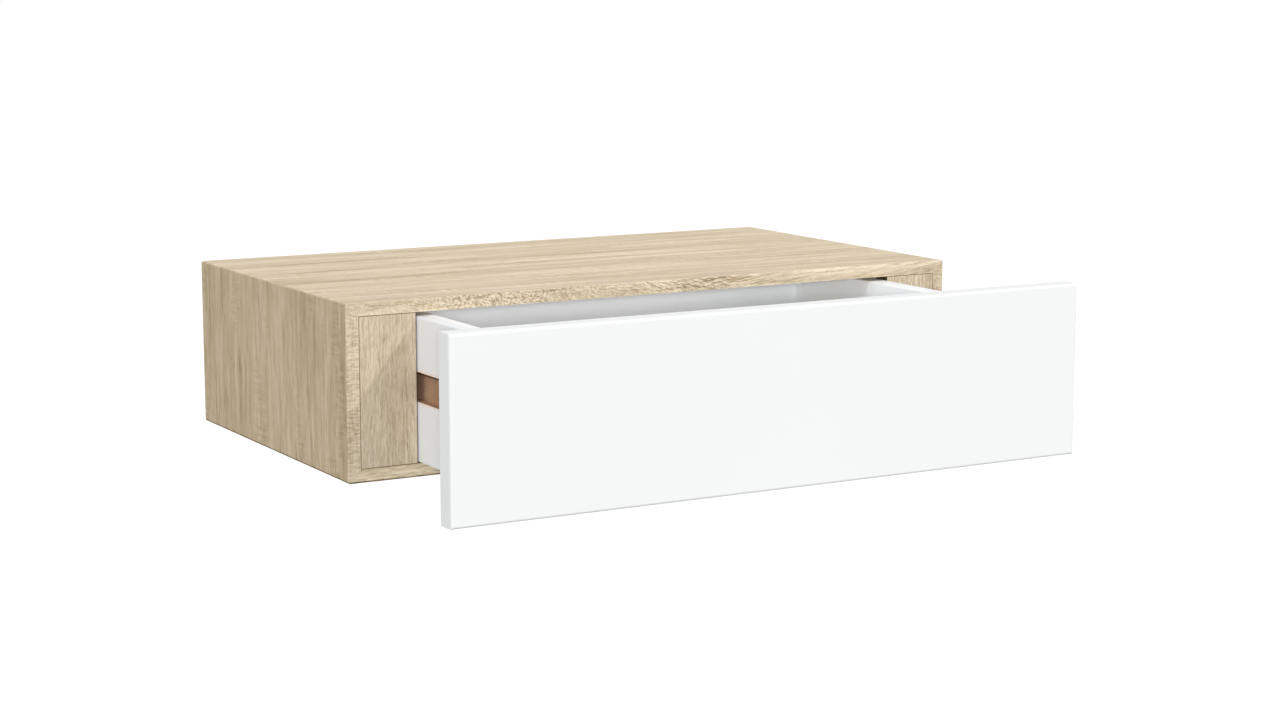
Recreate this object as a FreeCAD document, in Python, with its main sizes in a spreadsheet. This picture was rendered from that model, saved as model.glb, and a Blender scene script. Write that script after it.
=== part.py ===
import FreeCAD, Part
import math
import os
from types import SimpleNamespace

import Sketcher

# Wall-mounted drawer shelf, in millimetres
# X runs along the wall, the front faces -Y, +Z is up
# The origin is in the wall plane, midway between the screw holes of the wall bar

SIZES = {
    # Case
    "shelf_width": 400.0,
    "shelf_height": 100.0,
    "case_depth": 223.0,
    "shell_thickness": 7.5,
    "corner_ease": 0.8,
    "front_edge_ease": 0.4,
    # Stiles and inner sides
    "stile_width": 34.4,
    "stile_thickness": 12.0,
    "stile_edge_ease": 0.3,
    "inner_side_thickness": 12.0,
    # Back panel
    "back_recess": 6.0,
    "back_thickness": 3.0,
    "back_play": 0.2,
    "back_groove_depth": 3.0,
    "back_edge_gap": 0.5,
    "back_hole_margin": 2.0,
    # Loose tongues between stiles and inner sides
    "tongue_length": 60.0,
    "tongue_thickness": 4.0,
    "tongue_depth": 8.0,
    "tongue_play": 0.1,
    # Drawer runners
    "runner_rise": 0.7,
    "runner_width": 16.0,
    "runner_setback": 3.0,
    "runner_rear_gap": 13.8,
    "runner_play": 0.4,
    "runner_tip_gap": 0.6,
    "runner_ease": 0.8,
    "runner_lead_in": 3.0,
    "runner_screw_margin": 20.0,
    # Runner screws
    "runner_screw_radius": 1.6,
    "runner_screw_head_radius": 3.0,
    "runner_screw_length": 13.0,
    # Wall bar and prongs
    "bar_end_gap": 1.5,
    "bar_height": 30.0,
    "bar_thickness": 4.0,
    "bar_corner_radius": 5.0,
    "bar_hole_radius": 2.75,
    "bar_countersink": 2.25,
    "outer_hole_spacing": 260.0,
    "inner_hole_spacing": 90.0,
    "prong_radius": 6.0,
    "prong_length": 120.0,
    "prong_ease": 1.0,
    "prong_play": 0.3,
    "prong_end_gap": 5.0,
    "block_length": 135.0,
    # Headless screws that lock the shelf on the prongs
    "lock_screw_radius": 3.0,
    "lock_screw_length": 16.0,
    "lock_screw_inset": 60.0,
    "lock_socket_width": 3.0,
    "lock_socket_depth": 3.0,
    "screw_play": 0.1,
    # Drawer box
    "front_thickness": 12.0,
    "front_edge_radius": 1.5,
    "drawer_open": 117.5,
    "drawer_length": 212.0,
    "drawer_board": 12.0,
    "drawer_side_gap": 0.6,
    "drawer_top_gap": 2.5,
    "drawer_bottom_gap": 1.2,
    "drawer_edge_radius": 0.8,
    "runner_groove_depth": 4.5,
    "bottom_thickness": 3.0,
    "bottom_play": 0.15,
    "bottom_rise": 6.0,
    "bottom_groove_depth": 4.0,
    "back_rabbet_depth": 3.0,
    "back_rabbet_play": 0.1,
    # Cam fittings between drawer front and drawer sides
    "cam_distance": 24.0,
    "cam_bore_radius": 6.0,
    "cam_bore_depth": 10.0,
    "cam_play": 0.15,
    "cam_sink": 0.2,
    "cam_core_radius": 1.2,
    "cam_rim": 1.85,
    "cam_recess_length": 7.0,
    "cam_recess_width": 1.4,
    "cam_recess_depth": 1.5,
    "bolt_thread_radius": 2.5,
    "bolt_thread_length": 8.0,
    "bolt_shaft_radius": 3.0,
    "bolt_neck_radius": 1.4,
    "bolt_head_radius": 2.4,
    "bolt_head_length": 1.7,
    "bolt_play": 0.2,
    # Fluted dowels beside the cam fittings
    "dowel_radius": 3.0,
    "dowel_flute": 0.3,
    "dowel_length": 30.0,
    "dowel_depth_in_front": 8.0,
    "dowel_end_gap": 0.5,
    "dowel_play": 0.05,
    # Screws through the drawer sides into the drawer back
    "back_screw_radius": 1.75,
    "back_screw_head_radius": 3.5,
    "back_screw_length": 30.0,
    # One overrun for all cuts
    "overrun": 1.0,
}

# Angles of the cam nut's slot, in degrees
SLOT_TURN = 210
SLOT_OVERRUN_TURN = 30

# A hexagon's half diagonal over half its width across flats
HEXAGON_CORNER = 2 / 3 ** 0.5

DOWEL_FLUTES = 12

# Two places closer than this are one place
SAME_PLACE = 1e-4

LEFT = -1
RIGHT = 1


class Length:
    """A length: its value in millimetres, and the sheet formula that it follows."""

    def __init__(self, value, formula):
        self.value = value
        self.formula = formula

    def __add__(self, other):
        return Length(self.value + number(other), f"({self.formula} + {formula(other)})")

    def __sub__(self, other):
        return Length(self.value - number(other), f"({self.formula} - {formula(other)})")

    def __mul__(self, factor):
        return Length(self.value * factor, f"({self.formula} * {factor})")

    def __truediv__(self, factor):
        return Length(self.value / factor, f"({self.formula} / {factor})")

    def __neg__(self):
        return Length(-self.value, f"(0 - {self.formula})")

    __rmul__ = __mul__


def number(length):
    return length.value if isinstance(length, Length) else length


def formula(length):
    return length.formula if isinstance(length, Length) else str(length)


# Document and sheet
doc = FreeCAD.newDocument("drawer_shelf")
sheet = doc.addObject("Spreadsheet::Sheet", "Sizes")
for row, (name, value) in enumerate(SIZES.items(), 1):
    sheet.set(f"A{row}", name)
    sheet.set(f"B{row}", str(value))
    sheet.setAlias(f"B{row}", name)
doc.recompute()
dim = SimpleNamespace(**{name: Length(value, f"Sizes.{name}") for name, value in SIZES.items()})

# Places in the case
half_width = dim.shelf_width / 2
half_height = dim.shelf_height / 2
inner_height = dim.shelf_height - 2 * dim.shell_thickness
half_inner_width = half_width - dim.shell_thickness
half_opening = half_inner_width - dim.stile_width
hollow_width = dim.stile_width - dim.inner_side_thickness
prong_x = half_opening + dim.inner_side_thickness + hollow_width / 2
case_back = dim.back_recess + dim.back_thickness + dim.back_play
stile_rear = dim.case_depth - dim.stile_thickness
floor_z = dim.shell_thickness - half_height
case_side_length = stile_rear - case_back

# Places in the drawer, whose own frame has y = 0 on the back of the drawer front
drawer_y = -(dim.case_depth + dim.drawer_open)
drawer_half_width = half_opening - dim.drawer_side_gap
drawer_half_inside = drawer_half_width - dim.drawer_board
drawer_side_height = inner_height - dim.drawer_top_gap - dim.drawer_bottom_gap
drawer_z = floor_z + dim.drawer_bottom_gap
groove_height = dim.runner_width + 2 * dim.runner_play
groove_low = dim.runner_rise - drawer_z - groove_height / 2
bottom_slot_height = dim.bottom_thickness + 2 * dim.bottom_play
bottom_low = dim.bottom_rise - dim.bottom_play
# Fastenings lie in the middle of the board's lands above and below the runner groove
upper_level = (groove_low + groove_height + drawer_side_height) / 2
lower_level = (bottom_low + bottom_slot_height + groove_low) / 2
fastening_x = drawer_half_width - dim.drawer_board / 2
back_end = drawer_half_inside + dim.back_rabbet_depth - dim.back_rabbet_play
cam_radius = dim.cam_bore_radius - dim.cam_play

# Places on the runners
runner_thickness = dim.drawer_side_gap + dim.runner_groove_depth - dim.runner_tip_gap
runner_length = case_side_length - dim.runner_setback - dim.runner_rear_gap
runner_screw_spacing = runner_length - 2 * dim.runner_screw_margin
runner_rear = -(case_back + dim.runner_rear_gap)
first_runner_screw = runner_rear - runner_length + dim.runner_screw_margin


# Tools for sketches and features
def new_body(label):
    body = doc.addObject("PartDesign::Body", label)
    body.Label = label
    return body


def origin_of(body, role):
    return next(item for item in body.Origin.OriginFeatures if item.Role == role)


def new_sketch(body, name, role, offset=None, turn=0):
    sketch = body.newObject("Sketcher::SketchObject", name)
    sketch.AttachmentSupport = [(origin_of(body, role), "")]
    sketch.MapMode = "FlatFace"
    sketch.AttachmentOffset = FreeCAD.Placement(
        FreeCAD.Vector(), FreeCAD.Rotation(FreeCAD.Vector(1, 0, 0), turn)
    )
    if offset is not None:
        sketch.setExpression("AttachmentOffset.Base.z", offset.formula)
    return sketch


def pin_point(sketch, item, end, x, y):
    """Fix one point of a sketch at x, y from the sketch's origin."""
    for kind, axis, place in (("DistanceX", -2, x), ("DistanceY", -1, y)):
        if number(place) == 0:
            sketch.addConstraint(Sketcher.Constraint("PointOnObject", item, end, axis))
            continue
        index = sketch.addConstraint(Sketcher.Constraint(kind, -1, 1, item, end, number(place)))
        sketch.setExpression(f"Constraints[{index}]", formula(place))


def outline(sketch, corners):
    """Draw a closed outline through corners, each an x, y pair."""
    spots = [FreeCAD.Vector(number(x), number(y), 0) for x, y in corners]
    first = sketch.GeometryCount
    for here, there in zip(spots, spots[1:] + spots[:1]):
        sketch.addGeometry(Part.LineSegment(here, there), False)
    for step, (x, y) in enumerate(corners):
        after = first + (step + 1) % len(corners)
        sketch.addConstraint(Sketcher.Constraint("Coincident", first + step, 2, after, 1))
        pin_point(sketch, first + step, 1, x, y)


def rectangle(sketch, left, right, low, high):
    outline(sketch, [(left, low), (right, low), (right, high), (left, high)])


def circle(sketch, x, y, radius):
    centre = FreeCAD.Vector(number(x), number(y), 0)
    item = sketch.addGeometry(Part.Circle(centre, FreeCAD.Vector(0, 0, 1), radius.value), False)
    pin_point(sketch, item, 3, x, y)
    index = sketch.addConstraint(Sketcher.Constraint("Radius", item, radius.value))
    sketch.setExpression(f"Constraints[{index}]", radius.formula)


def extrude(kind, body, sketch, length, reverse=False, both_ways=False):
    feature = body.newObject(kind, f"{sketch.Name}_{kind.split('::')[1].lower()}")
    feature.Profile = sketch
    feature.setExpression("Length", length.formula)
    feature.Reversed = reverse
    if both_ways:
        feature.SideType = "Symmetric"
    return feature


def pad(body, sketch, length, reverse=False, both_ways=False):
    return extrude("PartDesign::Pad", body, sketch, length, reverse, both_ways)


def pocket(body, sketch, length, reverse=False, both_ways=False):
    return extrude("PartDesign::Pocket", body, sketch, length, reverse, both_ways)


def turn_profile(kind, body, sketch, axis, angle=360):
    feature = body.newObject(kind, f"{sketch.Name}_{kind.split('::')[1].lower()}")
    feature.Profile = sketch
    feature.ReferenceAxis = (sketch, [axis])
    feature.Angle = angle
    return feature


def edges_at(feature, x=None, y=None, z=None, full_circles=False):
    """Names of the feature's edges, or of its full circles only, that lie at the given x, y or z."""
    doc.recompute()
    found = []
    for count, edge in enumerate(feature.Shape.Edges, 1):
        box = edge.BoundBox
        spans = ((x, box.XMin, box.XMax), (y, box.YMin, box.YMax), (z, box.ZMin, box.ZMax))
        there = all(
            place is None or max(abs(low - number(place)), abs(high - number(place))) < SAME_PLACE
            for place, low, high in spans
        )
        if there and (edge.isClosed() or not full_circles):
            found.append(f"Edge{count}")
    return found


def dress(kind, body, feature, edges, size):
    """Chamfer or fillet the named edges of a feature."""
    dressing = body.newObject(kind, f"{feature.Name}_{kind.split('::')[1].lower()}")
    dressing.Base = (feature, edges)
    dressing.setExpression("Size" if kind.endswith("Chamfer") else "Radius", size.formula)
    return dressing


def repeat(body, feature, role, distance):
    """Repeat the whole shape once more, a distance away along an axis of the body's frame."""
    pair = body.newObject("PartDesign::LinearPattern", f"{feature.Name}_pair")
    pair.TransformMode = "Whole shape"
    pair.Direction = (origin_of(body, role), [""])
    pair.setExpression("Length", distance.formula)
    pair.Occurrences = 2
    body.Tip = pair
    doc.recompute()
    return pair


def mirror(body, feature):
    """Repeat the whole shape on the other side of the shelf's middle."""
    other = body.newObject("PartDesign::Mirrored", f"{feature.Name}_mirror")
    other.TransformMode = "Whole shape"
    other.MirrorPlane = (origin_of(body, "YZ_Plane"), [""])
    body.Tip = other
    doc.recompute()


def turn_over(body, feature, role):
    """Repeat the whole shape half a turn round an axis of the body's frame."""
    other = body.newObject("PartDesign::PolarPattern", f"{feature.Name}_turned")
    other.TransformMode = "Whole shape"
    other.Axis = (origin_of(body, role), [""])
    other.Angle = 360
    other.Occurrences = 2
    body.Tip = other
    doc.recompute()


def place(body, x, y, z, turn=0):
    """Put a body at x, y, z, turned about Y."""
    body.Placement = FreeCAD.Placement(
        FreeCAD.Vector(), FreeCAD.Rotation(FreeCAD.Vector(0, 1, 0), turn)
    )
    for axis, along in zip("xyz", (x, y, z)):
        if number(along) != 0:
            body.setExpression(f"Placement.Base.{axis}", formula(along))


# Case shell
def shell_board(label, length, x, z, turn):
    """A board with mitred ends and eased corners. Its outer face is at z = 0, its rear end at y = 0."""
    body = new_body(label)
    end = length / 2
    section = new_sketch(body, f"{label}_section", "XZ_Plane")
    ease = dim.corner_ease
    thickness = dim.shell_thickness
    outline(
        section,
        [
            (ease - end, 0),
            (end - ease, 0),
            (end - ease / 2, -ease / 2),
            (end - thickness, -thickness),
            (thickness - end, -thickness),
            (ease / 2 - end, -ease / 2),
        ],
    )
    pad(body, section, dim.case_depth)
    slot = new_sketch(body, f"{label}_back_slot", "YZ_Plane")
    slot_floor = dim.back_groove_depth - thickness
    rectangle(slot, -case_back, -dim.back_recess, -(thickness + dim.overrun), slot_floor)
    slotted = pocket(body, slot, length + 2 * dim.overrun, both_ways=True)
    front_edge = edges_at(slotted, y=-dim.case_depth, z=0)
    dress("PartDesign::Chamfer", body, slotted, front_edge, dim.front_edge_ease)
    place(body, x, 0, z, turn)
    return body


def drill_key_holes(body):
    """Holes in the bottom panel through which a key reaches the lock screws."""
    holes = new_sketch(body, "key_holes", "XY_Plane")
    for side in (LEFT, RIGHT):
        circle(holes, side * prong_x, -dim.lock_screw_inset, dim.lock_screw_radius + dim.screw_play)
    pocket(body, holes, dim.shell_thickness + dim.overrun)


shell_board("top_panel", dim.shelf_width, 0, half_height, 0)
drill_key_holes(shell_board("bottom_panel", dim.shelf_width, 0, -half_height, 180))
shell_board("left_side_panel", dim.shelf_height, -half_width, 0, -90)
shell_board("right_side_panel", dim.shelf_height, half_width, 0, 90)


# Stiles and inner sides
def tongue_slot(body, label, hand, depth, reverse):
    """Slot for half of a loose tongue, cut from the body's XZ plane."""
    slot = new_sketch(body, f"{label}_tongue_slot", "XZ_Plane")
    middle = hand * dim.inner_side_thickness / 2
    across = dim.tongue_thickness / 2 + dim.tongue_play
    up = dim.tongue_length / 2 + dim.tongue_play
    rectangle(slot, middle - across, middle + across, -up, up)
    return pocket(body, slot, depth, reverse=reverse)


def front_stile(label, hand):
    """Upright infill between shell and opening. Its opening edge is at x = 0, its rear face at y = 0."""
    body = new_body(label)
    face = new_sketch(body, f"{label}_face", "XZ_Plane")
    rectangle(face, 0, hand * dim.stile_width, -inner_height / 2, inner_height / 2)
    pad(body, face, dim.stile_thickness)
    slotted = tongue_slot(body, label, hand, dim.tongue_depth + dim.tongue_play, reverse=True)
    front_edges = edges_at(slotted, y=-dim.stile_thickness)
    dress("PartDesign::Chamfer", body, slotted, front_edges, dim.stile_edge_ease)
    place(body, hand * half_opening, -stile_rear, 0)


def inner_side(label, hand):
    """Wall of the drawer compartment. Its drawer face is at x = 0, its front end at y = 0."""
    body = new_body(label)
    face = new_sketch(body, f"{label}_face", "YZ_Plane")
    rectangle(face, 0, case_side_length, -inner_height / 2, inner_height / 2)
    pad(body, face, dim.inner_side_thickness, reverse=hand == LEFT)
    tongue_slot(body, label, hand, dim.tongue_depth + dim.tongue_play, reverse=False)
    pilots = new_sketch(body, f"{label}_pilots", "YZ_Plane")
    for step in range(2):
        along = first_runner_screw + step * runner_screw_spacing + stile_rear
        circle(pilots, along, dim.runner_rise, dim.runner_screw_radius + dim.screw_play)
    pilot_depth = dim.runner_screw_length - runner_thickness + dim.screw_play
    pocket(body, pilots, pilot_depth, reverse=hand == RIGHT)
    place(body, hand * half_opening, -stile_rear, 0)


def stile_tongues():
    """Loose tongues across the joints of stiles and inner sides. The joint is at y = 0."""
    body = new_body("stile_tongues")
    face = new_sketch(body, "tongue_face", "XZ_Plane")
    middle = half_opening + dim.inner_side_thickness / 2
    across = dim.tongue_thickness / 2
    up = dim.tongue_length / 2
    rectangle(face, middle - across, middle + across, -up, up)
    tongue = pad(body, face, 2 * dim.tongue_depth, both_ways=True)
    mirror(body, tongue)
    place(body, 0, -stile_rear, 0)


front_stile("left_front_stile", LEFT)
front_stile("right_front_stile", RIGHT)
inner_side("left_inner_side", LEFT)
inner_side("right_inner_side", RIGHT)
stile_tongues()


# Back panel, with a hole for each prong
def back_panel():
    body = new_body("back_panel")
    reach = dim.back_groove_depth - dim.back_edge_gap
    across = half_inner_width + reach
    up = inner_height / 2 + reach
    face = new_sketch(body, "back_face", "XZ_Plane")
    rectangle(face, -across, across, -up, up)
    for side in (LEFT, RIGHT):
        circle(face, side * prong_x, 0, dim.prong_radius + dim.back_hole_margin)
    pad(body, face, dim.back_thickness)
    place(body, 0, -(dim.back_recess + dim.back_play / 2), 0)


back_panel()


# Drawer runners
def runner(label, hand):
    """Strip with two countersunk holes and a tapered front end. It stands on x = 0, rear end at y = 0."""
    body = new_body(label)
    half = dim.runner_width / 2
    length = runner_length
    face = new_sketch(body, f"{label}_face", "YZ_Plane")
    taper = dim.runner_lead_in
    outline(
        face,
        [
            (0, -half),
            (0, half),
            (taper - length, half),
            (-length, half - taper / 2),
            (-length, taper / 2 - half),
            (taper - length, -half),
        ],
    )
    strip = pad(body, face, runner_thickness, reverse=hand == RIGHT)
    rubbing = -hand * runner_thickness
    dress("PartDesign::Chamfer", body, strip, edges_at(strip, x=rubbing), dim.runner_ease)
    holes = new_sketch(body, f"{label}_holes", "YZ_Plane")
    for step in range(2):
        along = dim.runner_screw_margin - length + step * runner_screw_spacing
        circle(holes, along, 0, dim.runner_screw_radius + dim.screw_play)
    drilled = pocket(body, holes, runner_thickness + dim.overrun, reverse=hand == LEFT)
    rims = edges_at(drilled, x=rubbing, full_circles=True)
    depth = dim.runner_screw_head_radius - dim.runner_screw_radius
    dress("PartDesign::Chamfer", body, drilled, rims, depth)
    place(body, hand * half_opening, runner_rear, dim.runner_rise)


def countersunk_section(sketch, start, way, radius, head_radius, length):
    """Half section of a countersunk screw along the sketch's x axis. Its head face is at start."""
    cone = head_radius - radius
    outline(
        sketch,
        [
            (start + way * length, 0),
            (start, 0),
            (start, head_radius),
            (start + way * cone, radius),
            (start + way * length, radius),
        ],
    )


def runner_screws():
    body = new_body("runner_screws")
    section = new_sketch(body, "runner_screw_section", "XY_Plane")
    head_face = runner_thickness - half_opening - dim.screw_play
    countersunk_section(
        section,
        head_face,
        LEFT,
        dim.runner_screw_radius,
        dim.runner_screw_head_radius - dim.screw_play,
        dim.runner_screw_length,
    )
    screw = turn_profile("PartDesign::Revolution", body, section, "H_Axis")
    pair = repeat(body, screw, "Y_Axis", runner_screw_spacing)
    mirror(body, pair)
    place(body, 0, first_runner_screw, dim.runner_rise)


runner("left_runner", LEFT)
runner("right_runner", RIGHT)
runner_screws()


# Concealed wall bracket
def wall_bar():
    """Flat bar against the wall, with countersunk screw holes."""
    body = new_body("wall_bar")
    end = half_inner_width - dim.bar_end_gap
    up = dim.bar_height / 2
    face = new_sketch(body, "bar_face", "XZ_Plane")
    rectangle(face, -end, end, -up, up)
    bar = pad(body, face, dim.bar_thickness)
    corners = []
    for x in (-end, end):
        for z in (-up, up):
            corners += edges_at(bar, x=x, z=z)
    dress("PartDesign::Fillet", body, bar, corners, dim.bar_corner_radius)
    holes = new_sketch(body, "bar_screw_holes", "XZ_Plane")
    for side in (LEFT, RIGHT):
        circle(holes, side * dim.outer_hole_spacing / 2, 0, dim.bar_hole_radius)
        circle(holes, side * dim.inner_hole_spacing / 2, 0, dim.bar_hole_radius)
    drilled = pocket(body, holes, dim.bar_thickness + dim.overrun, reverse=True)
    rims = edges_at(drilled, y=-dim.bar_thickness, full_circles=True)
    dress("PartDesign::Chamfer", body, drilled, rims, dim.bar_countersink)


def prong(label, hand):
    """Round prong welded to the front of the bar. Its welded end is at y = 0."""
    body = new_body(label)
    section = new_sketch(body, f"{label}_section", "XY_Plane")
    radius = dim.prong_radius
    tip = -dim.prong_length
    outline(
        section,
        [
            (0, 0),
            (radius, 0),
            (radius, tip + dim.prong_ease),
            (radius - dim.prong_ease, tip),
            (0, tip),
        ],
    )
    turn_profile("PartDesign::Revolution", body, section, "V_Axis")
    place(body, hand * prong_x, -dim.bar_thickness, 0)


def prong_block(label, hand):
    """Block that fills the hollow side at the back, bored for the prong. Its rear face is at y = 0."""
    body = new_body(label)
    face = new_sketch(body, f"{label}_face", "XZ_Plane")
    rectangle(face, -hollow_width / 2, hollow_width / 2, -inner_height / 2, inner_height / 2)
    pad(body, face, dim.block_length)
    bore = new_sketch(body, f"{label}_bore", "XZ_Plane")
    circle(bore, 0, 0, dim.prong_radius + dim.prong_play)
    bore_depth = dim.bar_thickness + dim.prong_length + dim.prong_end_gap - case_back
    pocket(body, bore, bore_depth, reverse=True)
    lock = new_sketch(body, f"{label}_lock_bore", "XY_Plane", offset=-inner_height / 2)
    circle(lock, 0, case_back - dim.lock_screw_inset, dim.lock_screw_radius + dim.screw_play)
    pocket(body, lock, inner_height / 2, reverse=True)
    place(body, hand * prong_x, -case_back, 0)


def lock_screws():
    """Headless screws with a hexagon socket, pressed up against the prongs. Their lower ends are at z = 0."""
    body = new_body("lock_screws")
    section = new_sketch(body, "lock_screw_section", "XY_Plane")
    circle(section, 0, 0, dim.lock_screw_radius)
    pad(body, section, dim.lock_screw_length)
    socket = new_sketch(body, "lock_socket", "XY_Plane")
    flat = dim.lock_socket_width / 2
    corner = flat * HEXAGON_CORNER
    outline(
        socket,
        [
            (flat, -corner / 2),
            (flat, corner / 2),
            (0, corner),
            (-flat, corner / 2),
            (-flat, -corner / 2),
            (0, -corner),
        ],
    )
    screw = pocket(body, socket, dim.lock_socket_depth, reverse=True)
    doc.recompute()
    repeat(body, screw, "X_Axis", 2 * prong_x)
    top = -(dim.prong_radius + dim.screw_play)
    place(body, -prong_x, -dim.lock_screw_inset, top - dim.lock_screw_length)


wall_bar()
prong("left_prong", LEFT)
prong("right_prong", RIGHT)
prong_block("left_prong_block", LEFT)
prong_block("right_prong_block", RIGHT)
lock_screws()


# Drawer
def drawer_front():
    """Front board. Its back is at y = 0 and its middle at x = z = 0."""
    body = new_body("drawer_front")
    face = new_sketch(body, "front_face", "XZ_Plane")
    rectangle(face, -half_width, half_width, -half_height, half_height)
    board = pad(body, face, dim.front_thickness)
    front_edges = edges_at(board, y=-dim.front_thickness)
    dress("PartDesign::Fillet", body, board, front_edges, dim.front_edge_radius)
    bolts = new_sketch(body, "front_bolt_bores", "XZ_Plane")
    dowels = new_sketch(body, "front_dowel_bores", "XZ_Plane")
    for side in (LEFT, RIGHT):
        middle = side * fastening_x
        circle(bolts, middle, drawer_z + upper_level, dim.bolt_thread_radius + dim.screw_play)
        circle(dowels, middle, drawer_z + lower_level, dim.dowel_radius + dim.dowel_play)
    pocket(body, bolts, dim.bolt_thread_length + dim.screw_play, reverse=True)
    pocket(body, dowels, dim.dowel_depth_in_front + dim.dowel_end_gap, reverse=True)
    slot = new_sketch(body, "front_bottom_slot", "XZ_Plane")
    across = drawer_half_inside + dim.bottom_groove_depth
    low = drawer_z + bottom_low
    rectangle(slot, -across, across, low, low + bottom_slot_height)
    pocket(body, slot, dim.bottom_groove_depth, reverse=True)
    place(body, 0, drawer_y, 0)


def drawer_side(label, hand):
    """Side board with a runner groove outside, a bottom groove and a rabbet inside. Outer face at x = 0."""
    body = new_body(label)
    inward = -hand
    board = dim.drawer_board
    section = new_sketch(body, f"{label}_section", "XZ_Plane")
    groove = inward * dim.runner_groove_depth
    slot = inward * (board - dim.bottom_groove_depth)
    outline(
        section,
        [
            (0, 0),
            (inward * board, 0),
            (inward * board, bottom_low),
            (slot, bottom_low),
            (slot, bottom_low + bottom_slot_height),
            (inward * board, bottom_low + bottom_slot_height),
            (inward * board, drawer_side_height),
            (0, drawer_side_height),
            (0, groove_low + groove_height),
            (groove, groove_low + groove_height),
            (groove, groove_low),
            (0, groove_low),
        ],
    )
    run = pad(body, section, dim.drawer_length, reverse=True)
    top_edges = edges_at(run, x=0, z=drawer_side_height)
    top_edges += edges_at(run, x=inward * board, z=drawer_side_height)
    dress("PartDesign::Fillet", body, run, top_edges, dim.drawer_edge_radius)
    cam = new_sketch(body, f"{label}_cam_bore", "YZ_Plane", offset=inward * board)
    circle(cam, dim.cam_distance, upper_level, dim.cam_bore_radius)
    pocket(body, cam, dim.cam_bore_depth, reverse=inward == LEFT)
    bolt = new_sketch(body, f"{label}_bolt_bore", "XZ_Plane")
    circle(bolt, inward * board / 2, upper_level, dim.bolt_shaft_radius + dim.bolt_play)
    pocket(body, bolt, dim.cam_distance)
    dowel = new_sketch(body, f"{label}_dowel_bore", "XZ_Plane")
    circle(dowel, inward * board / 2, lower_level, dim.dowel_radius + dim.dowel_play)
    pocket(body, dowel, dim.dowel_length - dim.dowel_depth_in_front + dim.dowel_end_gap)
    rabbet = new_sketch(body, f"{label}_back_rabbet", "YZ_Plane", offset=inward * board)
    front_of_back = dim.drawer_length - board - dim.back_rabbet_play
    top = drawer_side_height + dim.overrun
    rectangle(rabbet, front_of_back, dim.drawer_length + dim.overrun, -dim.overrun, top)
    pocket(body, rabbet, dim.back_rabbet_depth, reverse=inward == LEFT)
    screw = new_sketch(body, f"{label}_screw_hole", "YZ_Plane")
    circle(screw, dim.drawer_length - board / 2, upper_level, dim.back_screw_radius + dim.screw_play)
    drilled = pocket(body, screw, board + dim.overrun, reverse=inward == RIGHT)
    rims = edges_at(drilled, x=0, full_circles=True)
    depth = dim.back_screw_head_radius - dim.back_screw_radius
    dress("PartDesign::Chamfer", body, drilled, rims, depth)
    place(body, hand * drawer_half_width, drawer_y, drawer_z)


def drawer_back():
    """Back board in the rabbets of the drawer sides. Its rear face is at y = 0, its lower edge at z = 0."""
    body = new_body("drawer_back")
    section = new_sketch(body, "drawer_back_section", "YZ_Plane")
    board = dim.drawer_board
    outline(
        section,
        [
            (-board, 0),
            (0, 0),
            (0, drawer_side_height),
            (-board, drawer_side_height),
            (-board, bottom_low + bottom_slot_height),
            (dim.bottom_groove_depth - board, bottom_low + bottom_slot_height),
            (dim.bottom_groove_depth - board, bottom_low),
            (-board, bottom_low),
        ],
    )
    run = pad(body, section, 2 * back_end, both_ways=True)
    top_edges = edges_at(run, y=0, z=drawer_side_height)
    top_edges += edges_at(run, y=-board, z=drawer_side_height)
    dress("PartDesign::Fillet", body, run, top_edges, dim.drawer_edge_radius)
    pilot_depth = back_end + dim.back_screw_length + dim.screw_play - drawer_half_width
    for hand, end in ((LEFT, "left"), (RIGHT, "right")):
        pilot = new_sketch(body, f"back_{end}_pilot", "YZ_Plane", offset=hand * back_end)
        circle(pilot, -board / 2, upper_level, dim.back_screw_radius + dim.screw_play)
        pocket(body, pilot, pilot_depth, reverse=hand == LEFT)
    place(body, 0, drawer_y + dim.drawer_length, drawer_z)


def drawer_bottom():
    """Thin bottom held in the grooves of all four boards."""
    body = new_body("drawer_bottom")
    reach = dim.bottom_groove_depth - dim.bottom_play
    face = new_sketch(body, "bottom_face", "XY_Plane")
    across = drawer_half_inside + reach
    rear = dim.drawer_length - dim.drawer_board + reach
    rectangle(face, -across, across, -reach, rear)
    pad(body, face, dim.bottom_thickness)
    place(body, 0, drawer_y, drawer_z + dim.bottom_rise)


def cam_bolts():
    """Bolts screwed into the drawer front, with their heads in the cam nuts. The front ends at y = 0."""
    body = new_body("cam_bolts")
    section = new_sketch(body, "bolt_section", "XY_Plane")
    head_rear = dim.cam_distance - dim.cam_core_radius - dim.bolt_play
    head_front = head_rear - dim.bolt_head_length
    neck_front = dim.cam_distance - cam_radius - dim.bolt_play
    outline(
        section,
        [
            (0, -dim.bolt_thread_length),
            (dim.bolt_thread_radius, -dim.bolt_thread_length),
            (dim.bolt_thread_radius, 0),
            (dim.bolt_shaft_radius, 0),
            (dim.bolt_shaft_radius, neck_front),
            (dim.bolt_neck_radius, neck_front),
            (dim.bolt_neck_radius, head_front),
            (dim.bolt_head_radius, head_front),
            (dim.bolt_head_radius, head_rear),
            (0, head_rear),
        ],
    )
    bolt = turn_profile("PartDesign::Revolution", body, section, "V_Axis")
    repeat(body, bolt, "X_Axis", 2 * fastening_x)
    place(body, -fastening_x, drawer_y, drawer_z + upper_level)


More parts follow.
